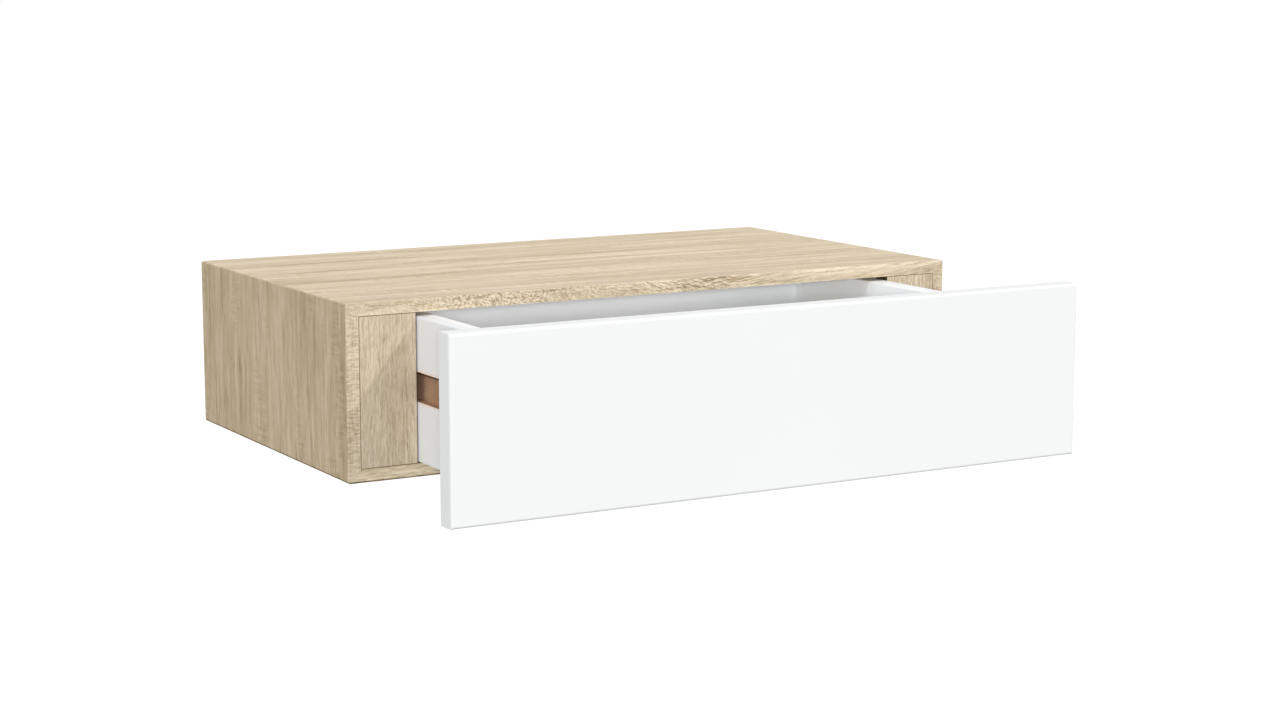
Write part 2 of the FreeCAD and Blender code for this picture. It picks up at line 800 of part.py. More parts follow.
def cam_nuts():
    """Turning cams in the drawer sides. A ring inside takes the bolt's head, a slot in the rim its neck.

    The cams' axis is the X axis of their frame.
    """
    body = new_body("cam_nuts")
    face = -(drawer_half_inside + dim.cam_sink)
    height = dim.cam_bore_depth - 2 * dim.cam_sink
    disc = new_sketch(body, "cam_disc", "XY_Plane")
    rectangle(disc, face - height, face, 0, cam_radius)
    turn_profile("PartDesign::Revolution", body, disc, "H_Axis")

    rim = cam_radius - dim.cam_rim
    head_room = dim.bolt_head_radius + dim.bolt_play
    neck_room = dim.bolt_neck_radius + dim.bolt_play
    ring = new_sketch(body, "cam_ring", "XY_Plane")
    rectangle(ring, -fastening_x - head_room, head_room - fastening_x, dim.cam_core_radius, rim)
    turn_profile("PartDesign::Groove", body, ring, "H_Axis")
    slot = new_sketch(body, "cam_slot", "XY_Plane", turn=-SLOT_OVERRUN_TURN)
    inside = rim - dim.bolt_play
    outside = cam_radius + dim.overrun
    rectangle(slot, -fastening_x - neck_room, neck_room - fastening_x, -outside, -inside)
    turn_profile("PartDesign::Groove", body, slot, "H_Axis", SLOT_TURN)
    entry = new_sketch(body, "cam_entry", "XZ_Plane", offset=-dim.cam_core_radius)
    rectangle(entry, -fastening_x - head_room, head_room - fastening_x, -head_room, head_room)
    pocket(body, entry, cam_radius)
    cross = new_sketch(body, "cam_cross", "YZ_Plane", offset=face)
    arm = dim.cam_recess_length / 2
    half = dim.cam_recess_width / 2
    outline(
        cross,
        [
            (arm, -half),
            (arm, half),
            (half, half),
            (half, arm),
            (-half, arm),
            (-half, half),
            (-arm, half),
            (-arm, -half),
            (-half, -half),
            (-half, -arm),
            (half, -arm),
            (half, -half),
        ],
    )
    crossed = pocket(body, cross, dim.cam_recess_depth)
    doc.recompute()
    turn_over(body, crossed, "Y_Axis")
    place(body, 0, drawer_y + dim.cam_distance, drawer_z + upper_level)


def front_dowels():
    """Fluted dowels between drawer front and drawer sides. Their rear ends are at y = 0."""
    body = new_body("front_dowels")
    section = new_sketch(body, "dowel_section", "XZ_Plane")
    flutes = []
    for step in range(2 * DOWEL_FLUTES):
        angle = math.pi * (step + 0.5) / DOWEL_FLUTES
        radius = dim.dowel_radius - dim.dowel_flute if step % 2 else dim.dowel_radius
        flutes.append((radius * math.cos(angle), radius * math.sin(angle)))
    outline(section, flutes)
    dowel = pad(body, section, dim.dowel_length)
    doc.recompute()
    repeat(body, dowel, "X_Axis", 2 * fastening_x)
    rear = drawer_y + dim.dowel_length - dim.dowel_depth_in_front
    place(body, -fastening_x, rear, drawer_z + lower_level)


def back_screws():
    """Countersunk screws through the drawer sides into the ends of the drawer back."""
    body = new_body("back_screws")
    section = new_sketch(body, "back_screw_section", "XY_Plane")
    countersunk_section(
        section,
        dim.screw_play - drawer_half_width,
        RIGHT,
        dim.back_screw_radius,
        dim.back_screw_head_radius - dim.screw_play,
        dim.back_screw_length - dim.screw_play,
    )
    screw = turn_profile("PartDesign::Revolution", body, section, "H_Axis")
    mirror(body, screw)
    place(body, 0, drawer_y + dim.drawer_length - dim.drawer_board / 2, drawer_z + upper_level)


drawer_front()
drawer_side("drawer_left_side", LEFT)
drawer_side("drawer_right_side", RIGHT)
drawer_back()
drawer_bottom()
cam_bolts()
cam_nuts()
front_dowels()
back_screws()


# Checks, then one file for each piece
CUTS = ("PartDesign::Pocket", "PartDesign::Groove", "PartDesign::Chamfer", "PartDesign::Fillet")

doc.recompute()
for item in doc.Objects:
    if "Invalid" in item.State or "Error" in item.State:
        raise ValueError(f"{item.Name} failed: {item.State} {item.getStatusString()}")
    if item.TypeId in CUTS and item.Shape.Volume >= item.BaseFeature.Shape.Volume:
        raise ValueError(f"{item.Name} removes nothing")

pieces = [item for item in doc.Objects if item.TypeId == "PartDesign::Body"]
for piece in pieces:
    if piece.Shape.isNull() or not piece.Shape.isValid() or not piece.Shape.Solids:
        raise ValueError(f"{piece.Label} has no valid solid")

os.makedirs("parts", exist_ok=True)
for piece in pieces:
    piece.Shape.exportStep(f"parts/{piece.Label}.step")
    print(f"{piece.Label}: {len(piece.Shape.Solids)} solid, {piece.Shape.Volume:.0f} cubic mm")
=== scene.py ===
import math

import bpy
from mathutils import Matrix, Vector


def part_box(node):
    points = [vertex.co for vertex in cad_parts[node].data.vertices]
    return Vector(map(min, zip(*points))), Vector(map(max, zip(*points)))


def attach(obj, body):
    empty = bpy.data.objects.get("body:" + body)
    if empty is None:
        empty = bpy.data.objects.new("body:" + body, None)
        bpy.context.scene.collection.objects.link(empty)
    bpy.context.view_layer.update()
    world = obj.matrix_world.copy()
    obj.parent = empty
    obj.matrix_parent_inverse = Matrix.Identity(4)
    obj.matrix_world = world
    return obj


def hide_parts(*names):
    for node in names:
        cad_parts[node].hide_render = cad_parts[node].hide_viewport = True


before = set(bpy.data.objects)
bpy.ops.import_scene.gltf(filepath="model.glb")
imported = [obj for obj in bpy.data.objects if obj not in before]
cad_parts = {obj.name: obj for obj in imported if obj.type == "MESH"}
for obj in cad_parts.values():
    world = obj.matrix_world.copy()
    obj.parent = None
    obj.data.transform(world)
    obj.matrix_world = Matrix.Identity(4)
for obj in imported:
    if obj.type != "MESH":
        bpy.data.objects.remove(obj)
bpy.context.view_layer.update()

MM = 0.001
WHITE = (1, 1, 1)

# The photograph's view, from a fit to the edges of the case and the drawer
PICTURE_WIDTH = 1280
SENSOR_WIDTH = 36
CAMERA_FOCAL_PIXELS = 2549.6
CAMERA_PLACE = (-0.7415, -1.4902, 0.2379)
CAMERA_HEADING = 29.792
CAMERA_TILT = 9.081
CAMERA_REACH = 200

# Places on the shelf, read from the frame
FRONT_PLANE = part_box("top_panel")[0].y
REAR_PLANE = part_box("top_panel")[1].y
CASE_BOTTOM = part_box("bottom_panel")[0].z
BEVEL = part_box("left_side_panel")[0].z - CASE_BOTTOM

# A point this near to a face counts as on it
FACE_SKIN = 0.1 * MM

# Most of a noise lies between these two values
NOISE_LOW = 0.3
NOISE_HIGH = 0.7

# The power of its shade that each channel takes. Blue falls fastest, so dark places look warm
CHANNEL_POWERS = (("X", 0.94), ("Y", 1.08), ("Z", 1.33))


def camera():
    data = bpy.data.cameras.new("camera")
    data.sensor_width = SENSOR_WIDTH
    data.lens = CAMERA_FOCAL_PIXELS / PICTURE_WIDTH * SENSOR_WIDTH
    data.clip_end = CAMERA_REACH
    view = bpy.data.objects.new("camera", data)
    view.location = CAMERA_PLACE
    view.rotation_euler = (math.radians(90 - CAMERA_TILT), 0, math.radians(-CAMERA_HEADING))
    bpy.context.scene.collection.objects.link(view)
    bpy.context.scene.camera = view


def sun(name, towards, strength, softness):
    """A distant lamp that shines from the direction of a point, with soft edges to its shadows."""
    data = bpy.data.lights.new(name, "SUN")
    data.energy = strength * math.pi
    data.angle = math.radians(softness)
    lamp = bpy.data.objects.new(name, data)
    lamp.rotation_euler = Vector(towards).to_track_quat("Z", "Y").to_euler()
    bpy.context.scene.collection.objects.link(lamp)


def seen_directly(tree):
    """One where the camera, a reflection or a look through glass meets the surface, and else zero."""
    path = tree.nodes.new("ShaderNodeLightPath")
    seen = path.outputs["Is Camera Ray"]
    for ray in ("Is Glossy Ray", "Is Transmission Ray"):
        either = tree.nodes.new("ShaderNodeMath")
        either.operation = "MAXIMUM"
        tree.links.new(seen, either.inputs[0])
        tree.links.new(path.outputs[ray], either.inputs[1])
        seen = either.outputs[0]
    return seen


def studio_world(ambient):
    """Even light from all round. What the camera and reflections see of it is white."""
    world = bpy.data.worlds.new("studio")
    bpy.context.scene.world = world
    world.use_nodes = True
    nodes, links = world.node_tree.nodes, world.node_tree.links
    nodes.clear()
    seen = seen_directly(world.node_tree)
    light = nodes.new("ShaderNodeBackground")
    light.inputs["Strength"].default_value = ambient
    white = nodes.new("ShaderNodeBackground")
    for background in (light, white):
        background.inputs["Color"].default_value = (*WHITE, 1)
    mix = nodes.new("ShaderNodeMixShader")
    out = nodes.new("ShaderNodeOutputWorld")
    links.new(seen, mix.inputs["Fac"])
    links.new(light.outputs[0], mix.inputs[1])
    links.new(white.outputs[0], mix.inputs[2])
    links.new(mix.outputs[0], out.inputs["Surface"])


class Finish:
    """A material in the making, with a short call for each kind of node."""

    def __init__(self, name):
        self.material = bpy.data.materials.new(name)
        self.material.use_nodes = True
        self.tree = self.material.node_tree
        self.shader = self.tree.nodes["Principled BSDF"]

    def node(self, kind, **settings):
        made = self.tree.nodes.new(f"ShaderNode{kind}")
        for name, value in settings.items():
            setattr(made, name, value)
        return made

    def feed(self, socket, value):
        """Links a varying value to a socket, or sets a constant one on it."""
        if isinstance(value, bpy.types.NodeSocket):
            self.tree.links.new(value, socket)
        else:
            socket.default_value = value

    def maths(self, operation, *values):
        made = self.node("Math", operation=operation)
        for socket, value in zip(made.inputs, values):
            self.feed(socket, value)
        return made.outputs[0]

    def place(self, offset=(0, 0, 0), turn=(0, 0, 0)):
        """Object coordinates, turned and moved so that each board has a grain of its own."""
        mapping = self.node("Mapping")
        self.feed(mapping.inputs["Vector"], self.node("TexCoord").outputs["Object"])
        mapping.inputs["Location"].default_value = offset
        mapping.inputs["Rotation"].default_value = [math.radians(angle) for angle in turn]
        return mapping.outputs[0]

    def noise(self, place, scale, detail=2.0, roughness=0.5, distortion=0.0):
        """A noise pattern. Its scale is one number, or three where the axes differ."""
        made = self.node("TexNoise")
        stretch = self.node("VectorMath", operation="MULTIPLY")
        self.feed(stretch.inputs[0], place)
        stretch.inputs[1].default_value = scale if isinstance(scale, tuple) else (scale, scale, scale)
        self.feed(made.inputs["Vector"], stretch.outputs[0])
        made.inputs["Scale"].default_value = 1
        made.inputs["Detail"].default_value = detail
        made.inputs["Roughness"].default_value = roughness
        made.inputs["Distortion"].default_value = distortion
        return made.outputs["Fac"]

    def between(self, value, low, high, to_low=0.0, to_high=1.0):
        """A smooth step of a value from one bound to the other."""
        made = self.node("MapRange", interpolation_type="SMOOTHSTEP")
        for name, number in (("From Min", low), ("From Max", high), ("To Min", to_low), ("To Max", to_high)):
            made.inputs[name].default_value = number
        self.feed(made.inputs["Value"], value)
        return made.outputs[0]

    def ramp(self, value, stops):
        """Colours that follow each other as a value rises."""
        made = self.node("ValToRGB")
        points = made.color_ramp.elements
        while len(points) < len(stops):
            points.new(0.5)
        for point, (at, colour) in zip(points, stops):
            point.position = at
            point.color = (*colour, 1)
        self.feed(made.inputs["Fac"], value)
        return made.outputs["Color"]

    def tint(self, value, dark_and_light, low=NOISE_LOW, high=NOISE_HIGH):
        """A dark colour that turns into a light one as a noise rises."""
        dark, light = dark_and_light
        return self.ramp(value, [(low, dark), (high, light)])

    def profile(self, share, strengths):
        """A strength along an edge, from pairs of a share of its length and the strength there."""
        return self.ramp(share, [(at, (strength, strength, strength)) for at, strength in strengths])

    def shaded(self, colour, shade):
        """A colour made lighter or darker by a varying factor, and warmer where it is darker."""
        factors = self.node("CombineXYZ")
        for axis, power in CHANNEL_POWERS:
            self.feed(factors.inputs[axis], self.maths("POWER", shade, power))
        made = self.node("VectorMath", operation="MULTIPLY")
        self.feed(made.inputs[0], colour)
        self.feed(made.inputs[1], factors.outputs[0])
        return made.outputs[0]

    def mixed(self, share, first, second):
        """The first colour, with a varying share of the second."""
        made = self.node("Mix", data_type="RGBA")
        self.feed(made.inputs[0], share)
        for socket, colour in ((made.inputs[6], first), (made.inputs[7], second)):
            self.feed(socket, colour if isinstance(colour, bpy.types.NodeSocket) else (*colour, 1))
        return made.outputs[2]

    def axes(self):
        made = self.node("SeparateXYZ")
        self.feed(made.inputs[0], self.node("TexCoord").outputs["Object"])
        return made.outputs

    def edge_distance(self, low, high):
        """Distance from a point on a board's face to the board's nearest edge."""
        spans = []
        for along, start, end in zip(self.axes(), low, high):
            from_start = self.maths("SUBTRACT", along, start)
            to_end = self.maths("SUBTRACT", end, along)
            spans.append(self.maths("MINIMUM", from_start, to_end))
        lower = self.maths("MINIMUM", spans[0], spans[1])
        upper = self.maths("MAXIMUM", spans[0], spans[1])
        return self.maths("MAXIMUM", lower, self.maths("MINIMUM", upper, spans[2]))

    def total(self, *terms):
        """The sum of varying terms."""
        result = terms[0]
        for term in terms[1:]:
            result = self.maths("ADD", result, term)
        return result

    def swing(self, value, amount):
        """A noise value turned into a swing about zero."""
        return self.maths("MULTIPLY", self.maths("SUBTRACT", value, 0.5), amount)

    def bump(self, height, distance):
        made = self.node("Bump")
        made.inputs["Distance"].default_value = distance
        self.feed(made.inputs["Height"], height)
        self.feed(self.shader.inputs["Normal"], made.outputs["Normal"])

    def roughness(self, value, least, most):
        """A roughness that follows a noise."""
        return self.between(value, NOISE_LOW, NOISE_HIGH, least, most)

    def surface(self, colour, roughness):
        self.feed(self.shader.inputs["Base Color"], colour)
        self.feed(self.shader.inputs["Roughness"], roughness)

    def give_to(self, *nodes):
        """Puts the material in the slots of carried-over nodes."""
        for name in nodes:
            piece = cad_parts[name]
            piece.data.materials.clear()
            piece.data.materials.append(self.material)


# Oak-look foil, the fibre board under it and the sawn edge of the stiles, which is bare board painted near
# black as the shade of the gap beside the drawer
OAK_DARK = (0.625, 0.518, 0.371)
OAK_MIDDLE = (0.700, 0.590, 0.435)
OAK_LIGHT = (0.755, 0.643, 0.486)
OAK_BANDS = ((0.30, OAK_DARK), (0.50, OAK_MIDDLE), (0.70, OAK_LIGHT))
OAK_EDGE = (0.70, 0.61, 0.48)
RAW_BOARD_BROWNS = ((0.285, 0.158, 0.083), (0.48, 0.302, 0.185))
SAWN_EDGE_SHADED_BROWNS = ((0.060, 0.046, 0.026), (0.115, 0.090, 0.055))
ALONG_X = (0, 0, 0)
ALONG_Z = (0, 90, 0)

# How far apart the prints of two boards are taken, so that no two look alike
SEED_STEP = (1.7, 2.3, 3.1)

# How much each pattern lightens or darkens the oak print, and how deep its relief is
OAK_SHADE = 1.03
BROAD_SWING = 0.34
STREAK_SWING = 0.70
GRIT_SWING = 0.26
LINE_SHADE = -0.17
PORE_SHADE = -0.20
RUBBED_SHADE = 0.03
FOOT_SHADE = -0.62
EDGE_SHARE = 0.25
OAK_RELIEF = 0.04 * MM
OAK_SPECULAR = 0.06

# How far the grain wanders sideways
WANDER = 14 * MM

# How the print differs from board to board. The tone is also painted light and shade: each board is painted
# lighter or darker for the light its face gets, and its front edge is painted lighter, or at the foot
# darker, than its face
TOP_PRINT = {"run": 1.4, "width": 1.6, "flame": 0.3, "tone_and_light": (0.942, 0.932, 0.922), "painted_edge_light": 0.03}
FOOT_PRINT = {"tone_and_light": (0.97, 0.96, 0.89), "painted_edge_light": -0.07}
SIDE_PRINT = {"run": 4.5, "width": 1.5, "flame": 0.36, "tone_and_light": (0.762, 0.728, 0.671), "painted_edge_light": 0.06}
STILE_PRINT = {
    "run": 3.0,
    "width": 0.65,
    "flame": 0.2,
    "tone_and_light": (0.758, 0.741, 0.712),
    "contrast": 0.7,
    "rays": 0.0,
}

# The marks on the top's front edge. Their strengths go from its left end to its right end
TOP_PITS = {
    "scale": (640, 420, 820),
    "distortion": 0.9,
    "bounds": (0.43, 0.60),
    "shades": (0.09, -0.42),
    "strengths": (
        (0.08, 0.3), (0.14, 0.65), (0.22, 1.0), (0.29, 0.9), (0.37, 0.55), (0.46, 0.35), (0.56, 0.1),
    ),
}
TOP_WAVES = {
    "scale": (120, 420, 800),
    "distortion": 1.4,
    "bounds": (0.44, 0.56),
    "shades": (0.05, -0.36),
    "strengths": ((0.40, 0.3), (0.48, 0.9), (0.57, 1.0), (0.64, 0.4), (0.75, 0.0)),
}
TOP_VEINS = {
    "scale": (60, 420, 1100),
    "distortion": 0.9,
    "bounds": (0.47, 0.60),
    "shades": (-0.01, -0.36),
    "strengths": ((0.46, 0.0), (0.58, 1.0), (0.66, 1.0), (0.75, 0.7), (0.85, 0.5), (0.94, 0.7)),
}
WAVE_SLANT = -20
VEIN_SLANT = 8

# The dark joint round a stile
JOINT_START = 0.3 * MM
JOINT_END = 0.7 * MM
JOINT_SHADE = 0.42


def raw_board_colour(finish, place, browns=RAW_BOARD_BROWNS):
    """Pressed brown fibre board, as a cut edge shows it."""
    fibres = finish.noise(place, 900, detail=4, roughness=0.7)
    clouds = finish.noise(place, 60)
    mixed = finish.total(fibres, finish.swing(clouds, 0.5))
    return finish.tint(mixed, browns, 0.25, 0.75)


def wandering_grain(finish, place):
    """The place, moved sideways by a slow wave, so that the grain isn't ruled."""
    wander = finish.noise(place, (3.2, 14, 14))
    shift = finish.node("CombineXYZ")
    for axis in ("Y", "Z"):
        finish.feed(shift.inputs[axis], finish.swing(wander, WANDER))
    drift = finish.node("VectorMath", operation="ADD")
    finish.feed(drift.inputs[0], place)
    finish.feed(drift.inputs[1], shift.outputs[0])
    return drift.outputs[0]


def crumb_marks(finish, place, scale, strength):
    """Coarse crumbled marks, denser in some places than in others."""
    crumbs = finish.noise(place, scale, roughness=0.6, distortion=0.7)
    dense = finish.between(finish.noise(place, 8, detail=1), 0.35, 0.6, 0.7, 1.35)
    marks = finish.between(crumbs, 0.40, 0.62, 0.12 * strength, -0.26 * strength)
    return finish.maths("MULTIPLY", marks, dense)


def marks_by_share(finish, place, share, scale, distortion, bounds, shades, strengths):
    """One kind of mark, from light to dark, with a strength that changes along the edge."""
    pattern = finish.noise(place, scale, roughness=0.6, distortion=distortion)
    strength = finish.profile(share, strengths)
    return finish.maths("MULTIPLY", finish.between(pattern, *bounds, *shades), strength)


def top_edge_marks(finish, place):
    """The marks along the front edge of the top: faint at the left, then dark pits, waves and veins."""
    low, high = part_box("top_panel")
    x = finish.axes()[0]
    share = finish.maths("DIVIDE", finish.maths("SUBTRACT", x, low.x), high.x - low.x)
    pits = marks_by_share(finish, place, share, **TOP_PITS)
    waves = marks_by_share(finish, finish.place(turn=(0, WAVE_SLANT, 0)), share, **TOP_WAVES)
    veins = marks_by_share(finish, finish.place(turn=(0, VEIN_SLANT, 0)), share, **TOP_VEINS)
    return finish.total(pits, waves, veins)


def foot_edge_marks(finish, place):
    return crumb_marks(finish, place, (120, 420, 900), 0.6)


def side_edge_marks(finish, place):
    return crumb_marks(finish, place, (900, 420, 200), 0.6)


def stile_marks(finish, place):
    return crumb_marks(finish, place, (190, 420, 1500), 0.8)


def oak_bands(finish, grain, front, run, tone_and_light):
    """Darker and lighter bands along the grain, with some of the edge's colour on the front edge."""
    bands = finish.noise(grain, (2.4 * run, 130, 130), detail=3, roughness=0.6)
    # The tone holds painted light and shade for the board's face as well as the print's own colour
    stops = [(at, [part * share for part, share in zip(oak, tone_and_light)]) for at, oak in OAK_BANDS]
    return finish.mixed(finish.maths("MULTIPLY", front, EDGE_SHARE), finish.ramp(bands, stops), OAK_EDGE)


def oak_patterns(finish, place, grain, run, width):
    """The patterns of the print. They are shorter the larger the run is, and wider the larger the width."""
    streaks = finish.noise(grain, (6 * run, 380 / width, 380 / width), detail=3, roughness=0.65)
    lines = finish.noise(grain, (4 * run, 300 / width, 300 / width), detail=1)
    pores = finish.noise(grain, (25 + 10 * run, 900, 900), detail=1)
    patches = finish.noise(place, (14, 34, 34), detail=1)
    return {
        "broad": finish.noise(grain, (1.6, 34, 34), detail=1),
        "flames": finish.noise(grain, (4 + 3 * run, 75, 75), roughness=0.6),
        "streaks": streaks,
        "lines": finish.between(lines, 0.62, 0.72),
        "grit": finish.noise(place, (160, 1000, 1000), detail=1),
        "pores": finish.between(pores, 0.60, 0.70),
        "patches": finish.between(patches, 0.50, 0.64),
        "flecks": finish.noise(place, (640, 85, 85), detail=1),
    }


def oak_shade(finish, patterns, contrast, flame, rays):
    """How light or dark the patterns together make the print."""
    return finish.total(
        finish.swing(patterns["broad"], BROAD_SWING * contrast),
        finish.swing(patterns["flames"], flame),
        finish.swing(patterns["streaks"], STREAK_SWING * contrast),
        finish.swing(patterns["grit"], GRIT_SWING * contrast),
        finish.maths("MULTIPLY", patterns["lines"], LINE_SHADE * contrast),
        finish.maths("MULTIPLY", patterns["pores"], PORE_SHADE * contrast),
        finish.maths("MULTIPLY", finish.swing(patterns["flecks"], rays), patterns["patches"]),
    )


def oak_relief(finish, patterns, front_marks):
    """Shallow relief: sunken pores, raised streaks and the marks of the front edge."""
    return finish.total(
        finish.maths("MULTIPLY", patterns["pores"], -0.6),
        finish.swing(patterns["streaks"], 0.5),
        finish.maths("MULTIPLY", front_marks, 2.0),
    )


def foot_line(finish, z, front, turn):
    """The thin dark line at the foot of the case, on its sides and on its front edge."""
    start = CASE_BOTTOM if turn == ALONG_X else CASE_BOTTOM + BEVEL
    line = finish.between(z, start + 0.5 * MM, start + 1.2 * MM, FOOT_SHADE, 0.0)
    return finish.maths("MULTIPLY", line, front) if turn == ALONG_X else line


def oak_foil(node, turn, seed, marks, tone_and_light, run=1.0, width=1.0, contrast=1.0, flame=0.25, rays=0.5,
             painted_edge_light=0.0, border=None, bare=None):
    """Printed oak foil. The grain follows the turned X axis, and the front edge has marks of its own."""
    finish = Finish(f"oak_foil_{node}")
    low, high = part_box(node)
    place = finish.place(offset=[seed * step for step in SEED_STEP], turn=turn)
    grain = wandering_grain(finish, place)
    x, y, z = finish.axes()
    front = finish.between(y, FRONT_PLANE + 0.6 * MM, FRONT_PLANE + 0.2 * MM)
    colour = oak_bands(finish, grain, front, run, tone_and_light)
    patterns = oak_patterns(finish, place, grain, run, width)
    front_marks = finish.maths("MULTIPLY", marks(finish, place), front)

    shade = finish.total(
        oak_shade(finish, patterns, contrast, flame, rays),
        front_marks,
        # Painted light on the front edge, or painted shade where the amount is below zero
        finish.maths("MULTIPLY", front, painted_edge_light),
        finish.between(finish.edge_distance(low, high), 0.15 * MM, 1.2 * MM, RUBBED_SHADE, 0.0),
        foot_line(finish, z, front, turn),
        OAK_SHADE,
    )
    if border is not None:
        shade = finish.maths("MULTIPLY", shade, border(finish, x, z, low, high))
    rear = finish.between(y, REAR_PLANE - 0.5 * MM, REAR_PLANE - 0.2 * MM)
    colour = finish.mixed(rear, finish.shaded(colour, shade), raw_board_colour(finish, place))
    if bare is not None:
        # Bare board, painted near black as the shade in the gap over the drawer
        sawn_and_shaded = raw_board_colour(finish, place, SAWN_EDGE_SHADED_BROWNS)
        colour = finish.mixed(bare(finish, x, low, high), colour, sawn_and_shaded)
    finish.surface(colour, finish.between(patterns["streaks"], 0.2, 0.8, 0.62, 0.74))
    finish.shader.inputs["Specular IOR Level"].default_value = OAK_SPECULAR
    finish.bump(oak_relief(finish, patterns, front_marks), OAK_RELIEF)
    finish.give_to(node)


def stile_border(finish, x, z, low, high):
    """The thin dark joint round three sides of a stile."""
    outer = max(abs(low.x), abs(high.x))
    from_outer = finish.maths("SUBTRACT", outer, finish.maths("ABSOLUTE", x))
    from_foot = finish.maths("SUBTRACT", z, low.z)
    from_ends = finish.maths("MINIMUM", from_foot, finish.maths("SUBTRACT", high.z, z))
    nearest = finish.maths("MINIMUM", from_outer, from_ends)
    return finish.between(nearest, JOINT_START, JOINT_END, JOINT_SHADE, 1.0)


def bare_inner_edge(finish, x, low, high):
    """The edge of a stile beside the drawer: bare board without foil, painted near black as the shade in the
    gap over the drawer.
    """
    inner = min(abs(low.x), abs(high.x))
    return finish.between(finish.maths("ABSOLUTE", x), inner + 0.3 * MM, inner + 0.1 * MM)


def front_stile(node, seed):
    """A stile beside the drawer, with its dark joint and its bare inner edge in painted shade."""
    oak_foil(node, ALONG_Z, seed, stile_marks, border=stile_border, bare=bare_inner_edge, **STILE_PRINT)


# White foil. Each face of the drawer has a darker and a lighter white, which drift into each other.
# The whites also differ from face to face as painted light and shade: the inside of the sides and the floor
# are painted whiter, the front and the back darker, and the outside bluer against the warm light from the
# oak
DRAWER_FRONT_PAINTED_SHADE_WHITES = ((0.805, 0.822, 0.814), (0.816, 0.833, 0.825))
DRAWER_BACK_PAINTED_SHADE_WHITES = ((0.795, 0.817, 0.838), (0.806, 0.829, 0.850))
SIDE_OUTSIDE_WHITES = ((0.864, 0.888, 0.914), (0.883, 0.907, 0.933))
SIDE_INSIDE_PAINTED_LIGHT_WHITES = ((0.945, 0.962, 0.978), (0.955, 0.972, 0.988))
DRAWER_FLOOR_PAINTED_LIGHT_WHITES = ((0.920, 0.943, 0.960), (0.935, 0.958, 0.975))
FOIL_CLOUDS = 9
FOIL_ROUGHNESS = (0.36, 0.44)
FOIL_RELIEF = 0.01 * MM

# Depths under the outer face of a drawer side that tell its foil, its groove and its inside apart
FOIL_DEPTH = 0.08 * MM
GROOVE_DEPTH = 5 * MM
INSIDE_DEPTH = 6 * MM

# The runner groove: its play round the runner, the brown rim round it, and the painted shadow under its
# upper lip
GROOVE_PLAY = 1 * MM
RIM_WIDTH = 0.6 * MM
RIM_COLOUR = (0.93, 0.80, 0.72)
# Where the painted shadow under the groove's upper lip starts and ends below the lip, and how dark it is
PAINTED_LIP_SHADOW_START = 4.2 * MM
PAINTED_LIP_SHADOW_END = 2.8 * MM
PAINTED_LIP_SHADOW = 0.3

# How much rougher the raw board is than the foil
RAW_ROUGHNESS = 0.4


def foil_patterns(finish, place):
    """The slow clouds and the fine orange peel of white foil."""
    return finish.noise(place, FOIL_CLOUDS), finish.noise(place, 700, detail=1)


def white_foil(node, whites, seed):
    """Smooth white foil with a very fine orange peel and a trace of handling."""
    finish = Finish(f"white_foil_{node}")
    place = finish.place(offset=(seed, seed * 2, seed * 3))
    clouds, peel = foil_patterns(finish, place)
    finish.surface(finish.tint(clouds, whites), finish.roughness(clouds, *FOIL_ROUGHNESS))
    finish.bump(peel, FOIL_RELIEF)
    finish.give_to(node)


def drawer_side(node):
    """White foil, with raw fibre board in the runner groove and on the rear end, and painted shadow under
    the groove's upper lip.
    """
    finish = Finish(f"white_board_{node}")
    low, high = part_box(node)
    place = finish.place()
    clouds, peel = foil_patterns(finish, place)
    x, y, z = finish.axes()
    outer = max(abs(low.x), abs(high.x))
    depth = finish.maths("SUBTRACT", outer, finish.maths("ABSOLUTE", x))
    runner_low, runner_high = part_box("left_runner")
    middle = (runner_low.z + runner_high.z) / 2
    half = (runner_high.z - runner_low.z) / 2 + GROOVE_PLAY
    upper_lip = middle + half
    from_middle = finish.maths("ABSOLUTE", finish.maths("SUBTRACT", z, middle))

    # One foil in two whites: the inside is painted whiter than the outside as painted light
    outside = finish.tint(clouds, SIDE_OUTSIDE_WHITES)
    inside = finish.tint(clouds, SIDE_INSIDE_PAINTED_LIGHT_WHITES)
    foil = finish.mixed(finish.maths("GREATER_THAN", depth, INSIDE_DEPTH), outside, inside)
    rim = finish.maths("LESS_THAN", from_middle, half + RIM_WIDTH)
    on_face = finish.maths("LESS_THAN", depth, FOIL_DEPTH)
    foil = finish.mixed(finish.maths("MULTIPLY", rim, on_face), foil, RIM_COLOUR)

    under_face = finish.maths("GREATER_THAN", depth, FOIL_DEPTH)
    in_depth = finish.maths("MULTIPLY", under_face, finish.maths("LESS_THAN", depth, GROOVE_DEPTH))
    groove = finish.maths("MULTIPLY", in_depth, finish.maths("LESS_THAN", from_middle, half))
    rear = finish.maths("GREATER_THAN", y, high.y - FACE_SKIN)
    raw = finish.maths("MAXIMUM", groove, rear)
    # Painted shadow of the groove's upper lip: the raw board just under the lip is darkened
    lip_shadow = finish.between(z, upper_lip - PAINTED_LIP_SHADOW_START, upper_lip - PAINTED_LIP_SHADOW_END, 1.0, PAINTED_LIP_SHADOW)
    colour = finish.mixed(raw, foil, finish.shaded(raw_board_colour(finish, place), lip_shadow))
    rougher = finish.maths("MULTIPLY", raw, RAW_ROUGHNESS)
    finish.surface(colour, finish.maths("ADD", rougher, finish.roughness(clouds, *FOIL_ROUGHNESS)))
    finish.bump(peel, FOIL_RELIEF)
    finish.give_to(node)


